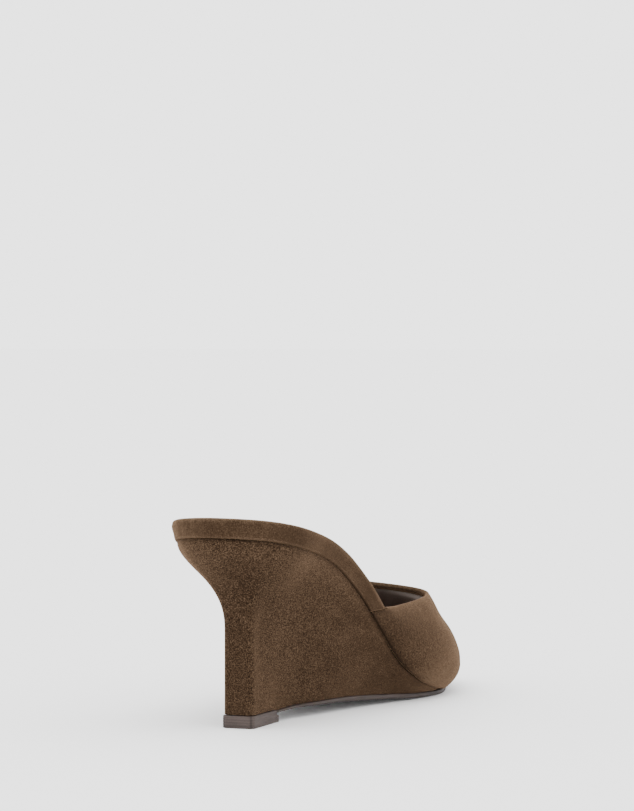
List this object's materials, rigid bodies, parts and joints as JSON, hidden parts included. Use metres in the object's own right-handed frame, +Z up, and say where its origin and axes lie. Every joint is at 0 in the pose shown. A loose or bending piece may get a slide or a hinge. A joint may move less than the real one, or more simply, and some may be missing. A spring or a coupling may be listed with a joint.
{
  "type": "wedge mule",
  "caption": "Backless suede mule with a closed toe, a padded footbed with a wrapped edge and a high sculpted wedge heel on a small rubber tip.",
  "frame": {"origin": "middle of the heel tip's flat underside, on the floor", "axes": "+Y from heel to toe, +X to the wearer's right, which is the outer side of this right shoe, +Z up from the floor"},
  "size_m": [0.0812, 0.2209, 0.0825],
  "materials": {
    "suede": "matte brown suede with a short fine nap",
    "lining_leather": "smooth dark brown lining leather, satin",
    "sole_rubber": "grey-brown rubber, satin, with fine level lines on its edge"
  },
  "bodies": {
    "root": {"upper": "suede", "footbed": "suede", "insole": "lining_leather", "wedge": "suede", "outsole": "sole_rubber", "heel_tip": "sole_rubber"}
  },
  "joints": []
}
